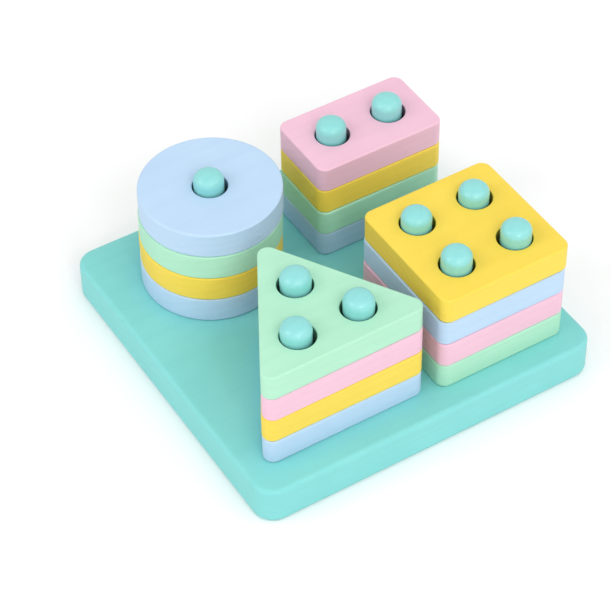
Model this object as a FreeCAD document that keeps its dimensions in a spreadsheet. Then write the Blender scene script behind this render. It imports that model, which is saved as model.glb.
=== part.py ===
import FreeCAD, Part
import Sketcher
import math
import os

# A wooden shape-stacking toy: a square board with ten glued pegs, which hold four stacks of four
# blocks (round, rectangular, square and triangular). Millimetres, +Z up, +X along the board's front
# side and +Y to its back. The origin is the middle of the board's underside.

Vector = FreeCAD.Vector
Z_AXIS = Vector(0, 0, 1)
BLOCKS_PER_STACK = 4

# Driving dimensions. The first group is the board, then the pegs, the blocks and the four stacks.
DIMENSIONS = {
    "board_side": 136.0,
    "board_thick": 15.2,
    "board_corner": 7.8,
    "board_edge": 1.8,
    "peg_dia": 10.95,
    "peg_rise": 6.3,
    "peg_shoulder": 3.1,
    "peg_crown": 10.5,
    "peg_lead": 0.8,
    "seat_depth": 9.0,
    "seat_dia": 11.15,
    "block_thick": 10.3,
    "layer_gap": 0.08,
    "block_corner": 3.8,
    "block_edge": 0.7,
    "hole_dia": 12.7,
    "hole_rim": 0.35,
    "disc_dia": 51.2,
    "slab_long": 51.8,
    "slab_wide": 30.8,
    "square_side": 52.0,
    "wedge_base": 67.8,
    "wedge_deep": 57.5,
    "wedge_corner": 3.7,
    "pair_radius": 11.8,
    "trio_radius": 13.7,
    "quad_radius": 16.9,
    "round_x": -27.8,
    "round_y": 34.1,
    "rectangle_x": 34.5,
    "rectangle_y": 33.7,
    "square_x": 34.75,
    "square_y": -32.6,
    "triangle_x": -27.8,
    "triangle_y": -37.25,
}

# One entry a stack. Its pegs stand round its centre in the order given, the first in a direction in
# degrees, all at one radius; each misses its mark by (x, y) and stands proud by the third number.
# The four blocks, bottom one first, lie within the play of their holes as (x, y, turn in degrees).
STACKS = {
    "round": {
        "pegs": {"round_peg": (-0.1, 0.05, -0.3)},
        "first": 0.0,
        "radius": None,
        "lies": [(-0.5, 0.25, 0.0), (-0.35, 0.15, 9.0), (-0.1, 0.05, -14.0), (0.25, -0.05, 4.0)],
    },
    "rectangle": {
        "pegs": {
            "rectangle_peg_right": (-0.32, 0.19, 0.4),
            "rectangle_peg_left": (-0.34, 0.2, 0.4),
        },
        "first": 0.0,
        "radius": "pair_radius",
        "lies": [(0.0, 0.1, 0.0), (-0.1, 0.0, 0.3), (0.1, 0.1, -0.3), (0.1, 0.1, 0.0)],
    },
    "square": {
        "pegs": {
            "square_peg_back_right": (-0.17, 0.1, -0.3),
            "square_peg_back_left": (-0.13, 0.08, -0.3),
            "square_peg_front_left": (0.1, -0.06, 0.7),
            "square_peg_front_right": (0.49, -0.3, 0.6),
        },
        "first": 45.0,
        "radius": "quad_radius",
        "lies": [(-0.2, 0.0, 0.0), (-0.25, 0.0, 0.3), (-0.1, 0.1, -0.2), (0.3, 0.2, 0.2)],
    },
    "triangle": {
        "pegs": {
            "triangle_peg_back": (0.0, 0.0, -0.2),
            "triangle_peg_front_left": (-0.41, 0.24, -0.3),
            "triangle_peg_front_right": (0.07, -0.04, 0.2),
        },
        "first": 90.0,
        "radius": "trio_radius",
        "lies": [(0.0, 0.0, 0.1), (0.1, 0.0, -0.2), (0.1, 0.0, 0.3), (0.0, 0.1, 0.6)],
    },
}

document = FreeCAD.newDocument("shape_stacker")
sheet = document.addObject("Spreadsheet::Sheet", "Dimensions")
for row, (alias, number) in enumerate(DIMENSIONS.items(), start=1):
    sheet.set(f"A{row}", alias)
    sheet.set(f"B{row}", str(number))
    sheet.setAlias(f"B{row}", alias)
document.recompute()


def cell(alias):
    """The expression that reads a driving dimension."""
    return f"Dimensions.{alias}"


def new_body(name):
    body = document.addObject("PartDesign::Body", name)
    body.Label = name
    return body


def place(body, x, y, z, turn=0.0):
    """Binds a body's place to the sheet; x, y and z are expressions, turn is in degrees."""
    body.Placement = FreeCAD.Placement(Vector(0, 0, 0), FreeCAD.Rotation(Z_AXIS, turn))
    body.setExpression("Placement.Base.x", x)
    body.setExpression("Placement.Base.y", y)
    body.setExpression("Placement.Base.z", z)


def new_sketch(body, name, role="XY_Plane"):
    """A sketch on one of the body's own origin planes."""
    plane = next(feature for feature in body.Origin.OriginFeatures if feature.Role == role)
    sketch = body.newObject("Sketcher::SketchObject", name)
    sketch.AttachmentSupport = [(plane, "")]
    sketch.MapMode = "FlatFace"
    return sketch


def dimension(sketch, name, expression, *arguments):
    """Adds a named dimension to a sketch and binds it to an expression."""
    index = sketch.addConstraint(Sketcher.Constraint(*arguments))
    sketch.renameConstraint(index, name)
    sketch.setExpression(f"Constraints.{name}", expression)


def closed_lines(sketch, corners):
    """Straight sides from corner to corner, joined end to end."""
    count = len(corners)
    for index in range(count):
        sketch.addGeometry(Part.LineSegment(corners[index], corners[(index + 1) % count]))
    for index in range(count):
        sketch.addConstraint(Sketcher.Constraint("Coincident", index, 2, (index + 1) % count, 1))


def disc_outline(sketch, diameter):
    radius = sheet.get(diameter) / 2
    sketch.addGeometry(Part.Circle(Vector(0, 0, 0), Z_AXIS, radius))
    sketch.addConstraint(Sketcher.Constraint("Coincident", 0, 3, -1, 1))
    dimension(sketch, "diameter", cell(diameter), "Diameter", 0, 2 * radius)


def rectangle_outline(sketch, long_side, wide_side):
    """A rectangle centred on the origin, with its long side along X."""
    half_long = sheet.get(long_side) / 2
    half_wide = sheet.get(wide_side) / 2
    closed_lines(sketch, [
        Vector(-half_long, -half_wide, 0),
        Vector(half_long, -half_wide, 0),
        Vector(half_long, half_wide, 0),
        Vector(-half_long, half_wide, 0),
    ])
    for side in (0, 2):
        sketch.addConstraint(Sketcher.Constraint("Horizontal", side))
    for side in (1, 3):
        sketch.addConstraint(Sketcher.Constraint("Vertical", side))
    sketch.addConstraint(Sketcher.Constraint("Symmetric", 0, 1, 1, 2, -1, 1))
    dimension(sketch, "long_side", cell(long_side), "DistanceX", 0, 1, 0, 2, 2 * half_long)
    dimension(sketch, "wide_side", cell(wide_side), "DistanceY", 1, 1, 1, 2, 2 * half_wide)


def triangle_outline(sketch, base, depth):
    """An isosceles triangle with its base at the front, a third of its depth in front of the origin."""
    half_base = sheet.get(base) / 2
    third = sheet.get(depth) / 3
    closed_lines(sketch, [
        Vector(-half_base, -third, 0),
        Vector(half_base, -third, 0),
        Vector(0, 2 * third, 0),
    ])
    sketch.addConstraint(Sketcher.Constraint("Symmetric", 0, 1, 0, 2, -2))
    sketch.addConstraint(Sketcher.Constraint("PointOnObject", 1, 2, -2))
    dimension(sketch, "base", cell(base), "DistanceX", 0, 1, 0, 2, 2 * half_base)
    dimension(sketch, "ahead", f"{cell(depth)} / 3", "DistanceY", 0, 1, -1, 1, third)
    dimension(sketch, "behind", f"2 * {cell(depth)} / 3", "DistanceY", -1, 1, 1, 2, 2 * third)


def pad(body, sketch, thickness):
    feature = body.newObject("PartDesign::Pad", f"{body.Label}_slab")
    feature.Profile = sketch
    feature.setExpression("Length", cell(thickness))
    document.recompute()
    return feature


def edge_names(shape, wanted):
    """The names of the edges that a test picks out of a shape."""
    return [f"Edge{index}" for index, edge in enumerate(shape.Edges, start=1) if wanted(edge)]


def is_upright(edge):
    return edge.BoundBox.ZLength > 1.0 and edge.BoundBox.XLength < 1e-4


def is_flat(edge):
    return edge.BoundBox.ZLength < 1e-4


def round_over(body, suffix, radius, wanted):
    """Rounds the edges of the body's last feature that a test picks out."""
    base = body.Tip
    feature = body.newObject("PartDesign::Fillet", f"{body.Label}_{suffix}")
    feature.Base = (base, edge_names(base.Shape, wanted))
    feature.setExpression("Radius", cell(radius))
    document.recompute()
    return feature


def peg_mark(stack, index):
    """The expressions for where a peg is meant to stand, measured from its stack's centre."""
    if STACKS[stack]["radius"] is None:
        return "0", "0"
    direction = STACKS[stack]["first"] + index * 360.0 / len(STACKS[stack]["pegs"])
    reach = cell(STACKS[stack]["radius"])
    return f"{reach} * cos({direction})", f"{reach} * sin({direction})"


def peg_place(stack, index):
    """The expressions for where a peg really stands on the board."""
    mark_x, mark_y = peg_mark(stack, index)
    miss_x, miss_y, _ = list(STACKS[stack]["pegs"].values())[index]
    return f"{cell(stack + '_x')} + {mark_x} + {miss_x}", f"{cell(stack + '_y')} + {mark_y} + {miss_y}"


def bore(body, suffix, diameter, centre, top, depth=None):
    """Bores one round hole down from a height: right through, or to a depth."""
    sketch = new_sketch(body, f"{body.Label}_{suffix}_mark")
    disc_outline(sketch, diameter)
    for axis, expression in zip("xyz", (*centre, top)):
        sketch.setExpression(f"AttachmentOffset.Base.{axis}", expression)
    volume_before = body.Tip.Shape.Volume
    pocket = body.newObject("PartDesign::Pocket", f"{body.Label}_{suffix}")
    pocket.Profile = sketch
    if depth:
        pocket.setExpression("Length", depth)
    else:
        pocket.Type = "ThroughAll"
    document.recompute()
    if body.Tip.Shape.Volume > volume_before - 1.0:
        raise RuntimeError(f"{body.Label}: {suffix} cuts nothing")


def make_board():
    """The base board, with blind seats for the pegs in its top."""
    body = new_body("base_board")
    outline = new_sketch(body, "base_board_outline")
    rectangle_outline(outline, "board_side", "board_side")
    pad(body, outline, "board_thick")
    round_over(body, "corners", "board_corner", is_upright)
    round_over(body, "edges", "board_edge", is_flat)
    for stack in STACKS:
        for index, peg in enumerate(STACKS[stack]["pegs"]):
            seat = peg_place(stack, index)
            bore(body, f"{peg}_seat", "seat_dia", seat, cell("board_thick"), cell("seat_depth"))
    return body


def make_block(stack, level):
    """One block of a stack; level 1 lies on the board."""
    body = new_body(f"{stack}_block_{level}")
    outline = new_sketch(body, f"{body.Label}_outline")
    if stack == "round":
        disc_outline(outline, "disc_dia")
    elif stack == "rectangle":
        rectangle_outline(outline, "slab_long", "slab_wide")
    elif stack == "square":
        rectangle_outline(outline, "square_side", "square_side")
    else:
        triangle_outline(outline, "wedge_base", "wedge_deep")
    pad(body, outline, "block_thick")
    if stack != "round":
        corner = "wedge_corner" if stack == "triangle" else "block_corner"
        round_over(body, "corners", corner, is_upright)
    round_over(body, "edges", "block_edge", is_flat)
    for index in range(len(STACKS[stack]["pegs"])):
        bore(body, f"hole_{index + 1}", "hole_dia", peg_mark(stack, index), cell("block_thick"))
    hole_radius = sheet.get("hole_dia") / 2
    round_over(
        body,
        "rims",
        "hole_rim",
        lambda edge: is_flat(edge) and abs(getattr(edge.Curve, "Radius", 0.0) - hole_radius) < 1e-6,
    )
    lie_x, lie_y, lie_turn = STACKS[stack]["lies"][level - 1]
    place(
        body,
        f"{cell(stack + '_x')} + {lie_x}",
        f"{cell(stack + '_y')} + {lie_y}",
        f"{cell('board_thick')} + {level} * {cell('layer_gap')} + {level - 1} * {cell('block_thick')}",
        lie_turn,
    )
    return body


def make_peg(stack, index):
    """A turned peg: a chamfered foot in its seat, a straight shank and a domed end."""
    name, (_, _, proud) = list(STACKS[stack]["pegs"].items())[index]
    body = new_body(name)
    radius = sheet.get("peg_dia") / 2
    shoulder = sheet.get("peg_shoulder")
    crown = sheet.get("peg_crown")
    lead = sheet.get("peg_lead")
    stack_height = BLOCKS_PER_STACK * (sheet.get("block_thick") + sheet.get("layer_gap"))
    length = sheet.get("seat_depth") + stack_height + sheet.get("peg_rise") + proud
    length_expression = (
        f"{cell('seat_depth')} + {BLOCKS_PER_STACK} * ({cell('block_thick')} + {cell('layer_gap')})"
        f" + {cell('peg_rise')} + {proud}"
    )

    # The crown's arc is centred on the axis, and the shoulder's arc runs into it smoothly.
    crown_z = length - crown
    shoulder_x = radius - shoulder
    lean = math.acos(shoulder_x / (crown - shoulder))
    shoulder_z = crown_z + (crown - shoulder) * math.sin(lean)
    meeting = Vector(crown * math.cos(lean), crown_z + crown * math.sin(lean), 0)

    profile = new_sketch(body, f"{body.Label}_profile", "XZ_Plane")
    profile.addGeometry(Part.LineSegment(Vector(0, 0, 0), Vector(radius - lead, 0, 0)))
    profile.addGeometry(Part.LineSegment(Vector(radius - lead, 0, 0), Vector(radius, lead, 0)))
    profile.addGeometry(Part.LineSegment(Vector(radius, lead, 0), Vector(radius, shoulder_z, 0)))
    shoulder_circle = Part.Circle(Vector(shoulder_x, shoulder_z, 0), Z_AXIS, shoulder)
    profile.addGeometry(Part.ArcOfCircle(shoulder_circle, 0.0, lean))
    crown_circle = Part.Circle(Vector(0, crown_z, 0), Z_AXIS, crown)
    profile.addGeometry(Part.ArcOfCircle(crown_circle, lean, math.pi / 2))
    profile.addGeometry(Part.LineSegment(Vector(0, length, 0), Vector(0, 0, 0)))
    foot, chamfer, shank, shoulder_arc, crown_arc, axis = range(6)
    start, end, centre = 1, 2, 3
    for constraint in (
        ("Coincident", foot, start, -1, 1),
        ("Horizontal", foot),
        ("Coincident", foot, end, chamfer, start),
        ("Coincident", chamfer, end, shank, start),
        ("Vertical", shank),
        ("Tangent", shank, end, shoulder_arc, start),
        ("Tangent", shoulder_arc, end, crown_arc, start),
        ("PointOnObject", crown_arc, centre, -2),
        ("Coincident", crown_arc, end, axis, start),
        ("Coincident", axis, end, foot, start),
        ("Vertical", axis),
    ):
        profile.addConstraint(Sketcher.Constraint(*constraint))
    dimension(profile, "radius", f"{cell('peg_dia')} / 2", "DistanceX", -1, 1, shank, start, radius)
    dimension(profile, "lead_in", cell("peg_lead"), "DistanceX", chamfer, start, chamfer, end, lead)
    dimension(profile, "lead_up", cell("peg_lead"), "DistanceY", chamfer, start, chamfer, end, lead)
    dimension(profile, "shoulder", cell("peg_shoulder"), "Radius", shoulder_arc, shoulder)
    dimension(profile, "crown", cell("peg_crown"), "Radius", crown_arc, crown)
    dimension(profile, "length", length_expression, "DistanceY", -1, 1, crown_arc, end, length)
    if (profile.getPoint(shoulder_arc, end) - meeting).Length > 1e-3:
        raise RuntimeError(f"{body.Label}: the shoulder doesn't meet the crown where it should")

    turned = body.newObject("PartDesign::Revolution", f"{body.Label}_turned")
    turned.Profile = profile
    turned.ReferenceAxis = (profile, ["V_Axis"])
    turned.Angle = 360.0

    place(body, *peg_place(stack, index), f"{cell('board_thick')} - {cell('seat_depth')}")
    return body


bodies = [make_board()]
for stack in STACKS:
    for index in range(len(STACKS[stack]["pegs"])):
        bodies.append(make_peg(stack, index))
    for level in range(1, BLOCKS_PER_STACK + 1):
        bodies.append(make_block(stack, level))
document.recompute()

for item in document.Objects:
    if "Invalid" in item.State or "Error" in item.State:
        raise RuntimeError(f"{item.Label} failed: {item.State}")
for body in bodies:
    if body.Shape.isNull() or not body.Shape.isValid() or len(body.Shape.Solids) != 1:
        raise RuntimeError(f"{body.Label} isn't one valid solid")

os.makedirs("parts", exist_ok=True)
for body in bodies:
    body.Shape.exportStep(f"parts/{body.Label}.step")
    box = body.Shape.BoundBox
    print(f"{body.Label}: {body.Shape.Volume / 1000:.2f} cm3, "
          f"x {box.XMin:.2f}..{box.XMax:.2f}, y {box.YMin:.2f}..{box.YMax:.2f}, "
          f"z {box.ZMin:.2f}..{box.ZMax:.2f}")
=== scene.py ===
import math

import bpy
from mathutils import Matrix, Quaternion, Vector


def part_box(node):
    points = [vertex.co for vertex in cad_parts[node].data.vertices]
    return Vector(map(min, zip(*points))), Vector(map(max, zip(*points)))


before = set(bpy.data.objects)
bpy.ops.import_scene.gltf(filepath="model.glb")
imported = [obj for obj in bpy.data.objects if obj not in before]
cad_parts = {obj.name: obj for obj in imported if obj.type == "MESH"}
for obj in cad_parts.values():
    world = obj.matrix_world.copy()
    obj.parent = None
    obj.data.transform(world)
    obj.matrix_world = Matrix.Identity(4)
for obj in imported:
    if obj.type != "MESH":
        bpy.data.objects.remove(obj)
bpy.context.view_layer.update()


# Base board: one square of solid wood, its corners and edges rounded over, then sprayed with
# teal water-based paint. The paint is satin. It shows the wood's growth rings and the spray's
# faint orange peel, and it is thinner along the rounded edges and duller on the end grain.
def link(tree, source, target):
    tree.links.new(source, target)


def math_node(tree, operation, first, second=0.5, clamp=False):
    node = tree.nodes.new("ShaderNodeMath")
    node.operation = operation
    node.use_clamp = clamp
    for socket, value in zip(node.inputs, (first, second)):
        if isinstance(value, (int, float)):
            socket.default_value = value
        else:
            link(tree, value, socket)
    return node.outputs[0]


def noise(tree, coordinates, scale, detail=2.0, roughness=0.5):
    node = tree.nodes.new("ShaderNodeTexNoise")
    node.inputs["Scale"].default_value = scale
    node.inputs["Detail"].default_value = detail
    node.inputs["Roughness"].default_value = roughness
    link(tree, coordinates, node.inputs["Vector"])
    return node.outputs["Fac"]


def object_place(tree):
    return tree.nodes.new("ShaderNodeTexCoord").outputs["Object"]


def split(tree, vector):
    node = tree.nodes.new("ShaderNodeSeparateXYZ")
    link(tree, vector, node.inputs[0])
    return node.outputs


def surface_normal(tree):
    return split(tree, tree.nodes.new("ShaderNodeNewGeometry").outputs["Normal"])


def stretched(tree, coordinates, scale, location=(0.0, 0.0, 0.0)):
    node = tree.nodes.new("ShaderNodeMapping")
    node.inputs["Location"].default_value = location
    node.inputs["Scale"].default_value = scale
    link(tree, coordinates, node.inputs["Vector"])
    return node.outputs["Vector"]


def between(tree, amount, low, high, least=0.0, most=1.0):
    """Carries an amount from the range least to most over to the range low to high."""
    node = tree.nodes.new("ShaderNodeMapRange")
    node.inputs["From Min"].default_value = least
    node.inputs["From Max"].default_value = most
    node.inputs["To Min"].default_value = low
    node.inputs["To Max"].default_value = high
    link(tree, amount, node.inputs["Value"])
    return node.outputs["Result"]


def tinted(tree, amount, low, high):
    """Blends two colours, each of them a tuple or the socket that gives it."""
    node = tree.nodes.new("ShaderNodeMix")
    node.data_type = "RGBA"
    for name, value in (("A", low), ("B", high)):
        socket = next(s for s in node.inputs if s.name == name and s.type == "RGBA")
        if isinstance(value, tuple):
            socket.default_value = (*value, 1.0)
        else:
            link(tree, value, socket)
    link(tree, amount, node.inputs["Factor"])
    return next(s for s in node.outputs if s.type == "RGBA")


def painted_wood(
    name, colour, grain_axis="x", plank=(0.0, 0.02, 0.11), coat=0.06, coat_roughness=0.25
):
    """Satin paint over wood whose grain runs along x, or along z on a turned peg.

    plank is where the piece was cut, measured from the tree's heart in metres.
    """
    material = bpy.data.materials.new(name)
    material.use_nodes = True
    tree = material.node_tree
    surface = tree.nodes["Principled BSDF"]
    place = stretched(tree, object_place(tree), (1.0, 1.0, 1.0), plank)
    facing = surface_normal(tree)

    # Growth rings run round the tree's heart; fibres are long thin streaks.
    long_way, cross_way = 26.0, 1150.0
    if grain_axis == "x":
        fibre_scale = (long_way, cross_way, cross_way)
        ring_flattening = (0.05, 1.0, 1.0)
    else:
        fibre_scale = (cross_way, cross_way, long_way)
        ring_flattening = (1.0, 1.0, 0.05)
    fibre = noise(tree, stretched(tree, place, fibre_scale), 1.0, detail=3.0, roughness=0.6)
    rings = tree.nodes.new("ShaderNodeTexWave")
    rings.wave_type = "RINGS"
    rings.rings_direction = grain_axis.upper()
    rings.inputs["Scale"].default_value = 95.0
    rings.inputs["Distortion"].default_value = 5.0
    rings.inputs["Detail"].default_value = 2.0
    rings.inputs["Detail Scale"].default_value = 0.35
    link(tree, stretched(tree, place, ring_flattening), rings.inputs["Vector"])
    ring = rings.outputs["Fac"]

    # The spray lays on unevenly over a few centimetres, and dries to a fine orange peel.
    coverage = noise(tree, place, 38.0, detail=3.0)
    peel = noise(tree, place, 850.0)

    # Rounded edges face neither up nor sideways, and are sanded through a little in patches.
    # The product is a quarter at most, halfway round an edge. End grain faces along the fibres.
    edge_gain = 3.6
    upward = math_node(tree, "POWER", math_node(tree, "ABSOLUTE", facing["Z"]), 2.0)
    edge = math_node(tree, "MULTIPLY", upward, math_node(tree, "SUBTRACT", 1.0, upward))
    edge = math_node(tree, "MULTIPLY", edge, edge_gain, clamp=True)
    rubbing = noise(tree, place, 210.0, detail=4.0, roughness=0.65)
    patches = between(tree, rubbing, 0.0, 0.2, least=0.42, most=0.72)
    wear = math_node(tree, "MULTIPLY", edge, patches)
    endward = math_node(tree, "ABSOLUTE", facing[grain_axis.upper()])
    end_grain = math_node(tree, "POWER", endward, 6.0)

    # Under the paint the dense late wood and the pores show as slightly deeper lines.
    deep = tuple(channel ** 1.08 * 0.95 for channel in colour)
    thin = tuple(channel * 0.9 + 0.1 for channel in colour)
    body = tinted(tree, between(tree, coverage, -0.1, 1.3), deep, colour)
    ringed = tinted(tree, between(tree, ring, 0.0, 0.3, least=0.55), body, deep)
    streaked = tinted(tree, between(tree, fibre, 0.0, 0.45, least=0.5, most=0.75), ringed, deep)
    link(tree, tinted(tree, wear, streaked, thin), surface.inputs["Base Color"])

    # The paint is rougher where it lies thick, a little uneven over the fibres, and dull on
    # end grain, which soaks it up.
    end_dullness = 0.07
    dull = between(tree, coverage, 0.38, 0.52)
    dull = math_node(tree, "ADD", dull, between(tree, fibre, -0.03, 0.03))
    dull = math_node(tree, "ADD", dull, math_node(tree, "MULTIPLY", end_grain, end_dullness))
    link(tree, dull, surface.inputs["Roughness"])
    surface.inputs["Specular IOR Level"].default_value = 0.25
    surface.inputs["Coat Weight"].default_value = coat
    surface.inputs["Coat Roughness"].default_value = coat_roughness

    # How far each of them stands up, in metres.
    ring_height, fibre_height, peel_height = 0.00004, 0.00004, 0.00002
    height = math_node(tree, "MULTIPLY", ring, ring_height)
    height = math_node(tree, "ADD", height, math_node(tree, "MULTIPLY", fibre, fibre_height))
    height = math_node(tree, "ADD", height, math_node(tree, "MULTIPLY", peel, peel_height))
    relief = tree.nodes.new("ShaderNodeBump")
    relief.inputs["Distance"].default_value = 1.0
    relief.inputs["Strength"].default_value = 1.0
    link(tree, height, relief.inputs["Height"])
    link(tree, relief.outputs["Normal"], surface.inputs["Normal"])
    return material


def finish(node, material):
    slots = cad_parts[node].data.materials
    slots.clear()
    slots.append(material)


board_teal = (0.266, 0.664, 0.649)
finish("base_board", painted_wood("board_paint", board_teal))


# Pegs: ten lengths of dowel, their free ends turned to a low dome, painted a lighter and
# glossier teal and glued into blind seats in the board. One holds the discs, two the slabs,
# four the squares and three the triangles.
peg_teal = (0.295, 0.673, 0.662)
pegs = [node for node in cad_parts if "_peg" in node]
for number, node in enumerate(pegs):
    heart = (0.011 + 0.007 * number, 0.004 - 0.009 * number, 0.0)
    finish(node, painted_wood(f"{node}_paint", peg_teal, "z", heart, coat=0.65, coat_roughness=0.09))


# Discs: four rounds sawn from 10 mm board with one hole each, sanded round at their edges and
# painted blue, yellow, green and blue from the bottom up. They lie loose on their single peg.
pastel_blue = (0.512, 0.664, 0.835)
pastel_green = (0.46, 0.765, 0.58)
pastel_yellow = (0.875, 0.665, 0.115)


def drilled_block(node, paint, plank, stack):
    """Paints a block, and darkens the walls of its bores with painted shade."""
    material = painted_wood(f"{node}_paint", paint, plank=plank)
    tree = material.node_tree
    colour = tree.nodes["Principled BSDF"].inputs["Base Color"]
    sprayed = colour.links[0].from_socket
    place = split(tree, object_place(tree))

    # A bore's wall is upright, with a normal that hardly rises, and within reach in metres of
    # a peg's axis. No outer side is.
    bore_reach = 0.008
    most_rise = 0.5
    bore_shade = 0.6
    nearest = 1.0
    for peg in pegs:
        if peg.startswith(stack):
            low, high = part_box(peg)
            middle = (low + high) / 2
            aside = math_node(tree, "SUBTRACT", place["X"], middle.x)
            along = math_node(tree, "SUBTRACT", place["Y"], middle.y)
            aside_squared = math_node(tree, "POWER", aside, 2.0)
            along_squared = math_node(tree, "POWER", along, 2.0)
            reach = math_node(tree, "ADD", aside_squared, along_squared)
            nearest = math_node(tree, "MINIMUM", reach, nearest)
    close = math_node(tree, "LESS_THAN", nearest, bore_reach ** 2)
    rise = math_node(tree, "ABSOLUTE", surface_normal(tree)["Z"])
    upright = math_node(tree, "LESS_THAN", rise, most_rise)
    in_bore = math_node(tree, "MULTIPLY", close, upright)
    # Painted shade: the bore walls get a darker copy of the paint, standing in for the shade inside
    # the holes.
    painted_bore_shade = tuple(channel * bore_shade for channel in paint)
    link(tree, tinted(tree, in_bore, sprayed, painted_bore_shade), colour)
    finish(node, material)


for level, paint in enumerate((pastel_blue, pastel_yellow, pastel_green, pastel_blue), start=1):
    plank = (0.07 * level, 0.03, 0.06 + 0.02 * level)
    drilled_block(f"round_block_{level}", paint, plank, "round")


# Slabs: four rectangles of the same board with two holes each, their corners rounded on a belt,
# painted blue, green, yellow and pink from the bottom up and dropped over the back pair of pegs.
pastel_pink = (0.83, 0.54, 0.65)
for level, paint in enumerate((pastel_blue, pastel_green, pastel_yellow, pastel_pink), start=1):
    plank = (-0.05 * level, 0.05, 0.11 - 0.01 * level)
    drilled_block(f"rectangle_block_{level}", paint, plank, "rectangle")


# Squares: four blocks with four holes each, sawn and rounded like the slabs, painted green,
# pink, blue and yellow from the bottom up. Their pegs stand a little off an even pattern.
for level, paint in enumerate((pastel_green, pastel_pink, pastel_blue, pastel_yellow), start=1):
    plank = (0.09 * level, -0.04, 0.08 + 0.015 * level)
    drilled_block(f"square_block_{level}", paint, plank, "square")


# Triangles: four blocks with three holes each and well rounded corners, painted blue, yellow,
# pink and green from the bottom up. Their long side lies along the front of the board.
for level, paint in enumerate((pastel_blue, pastel_yellow, pastel_pink, pastel_green), start=1):
    plank = (-0.06 * level, -0.02, 0.13 - 0.02 * level)
    drilled_block(f"triangle_block_{level}", paint, plank, "triangle")


# Studio: a plain white table in a white room, lit by the room itself and by soft boxes overhead,
# at both side walls and high in front. Two small ones low in front put the small lights on the
# pegs' domes.
bpy.ops.mesh.primitive_plane_add(size=6.0)
table = bpy.context.object
table.name = "table"
white = bpy.data.materials.new("white_table")
white.use_nodes = True
white_surface = white.node_tree.nodes["Principled BSDF"]
white_surface.inputs["Base Color"].default_value = (0.93, 0.93, 0.93, 1.0)
white_surface.inputs["Roughness"].default_value = 0.7
table.data.materials.append(white)

room = bpy.data.worlds.new("room")
room.use_nodes = True
room_walls = room.node_tree.nodes["Background"]
room_walls.inputs["Color"].default_value = (1.0, 1.0, 1.0, 1.0)
room_walls.inputs["Strength"].default_value = 0.68
bpy.context.scene.world = room


def outward(azimuth, elevation):
    """The direction at an azimuth from the front and an elevation, both in degrees."""
    across, up = math.radians(azimuth), math.radians(elevation)
    level = math.cos(up)
    return Vector((math.sin(across) * level, -math.cos(across) * level, math.sin(up)))


def soft_box(name, azimuth, elevation, distance, size, power):
    light = bpy.data.lights.new(name, "AREA")
    light.size = size
    light.energy = power
    lamp = bpy.data.objects.new(name, light)
    bpy.context.scene.collection.objects.link(lamp)
    toward = outward(azimuth, elevation)
    lamp.location = toward * distance
    lamp.rotation_mode = "QUATERNION"
    lamp.rotation_quaternion = (-toward).to_track_quat("-Z", "Y")


soft_box("overhead", azimuth=20.0, elevation=70.0, distance=1.4, size=0.9, power=1.45)
soft_box("left_wall", azimuth=-100.0, elevation=40.0, distance=1.4, size=0.7, power=3.0)
soft_box("right_wall", azimuth=55.0, elevation=40.0, distance=1.4, size=0.7, power=1.0)
soft_box("front_middle", azimuth=-18.0, elevation=42.0, distance=1.3, size=0.35, power=1.6)
soft_box("front_far_right", azimuth=10.0, elevation=45.0, distance=1.3, size=0.35, power=1.0)
soft_box("front_left", azimuth=-48.0, elevation=27.0, distance=1.3, size=0.11, power=0.5)
soft_box("front_right", azimuth=-12.0, elevation=27.0, distance=1.3, size=0.11, power=0.8)


# Camera: a long lens from the front left, well above the board, held a degree out of level.
# Where it aims and how far off it stands are in sides of the board.
board_low, board_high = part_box("base_board")
board_side = board_high.x - board_low.x
aim = Vector((-0.0517, 0.0353, 0.0993)) * board_side
back = outward(azimuth=-30.97, elevation=45.51)
distance = 6.2363 * board_side
roll = Quaternion((0, 0, 1), -0.0186)
camera_data = bpy.data.cameras.new("camera")
camera_data.lens = 139.6
camera_data.sensor_width = 36.0
camera_data.clip_end = 20.0
camera = bpy.data.objects.new("camera", camera_data)
bpy.context.scene.collection.objects.link(camera)
camera.location = aim + back * distance
camera.rotation_mode = "QUATERNION"
camera.rotation_quaternion = (-back).to_track_quat("-Z", "Y") @ roll
bpy.context.scene.camera = camera
bpy.context.scene.view_settings.view_transform = "Standard"
bpy.context.scene.view_settings.look = "Medium High Contrast"
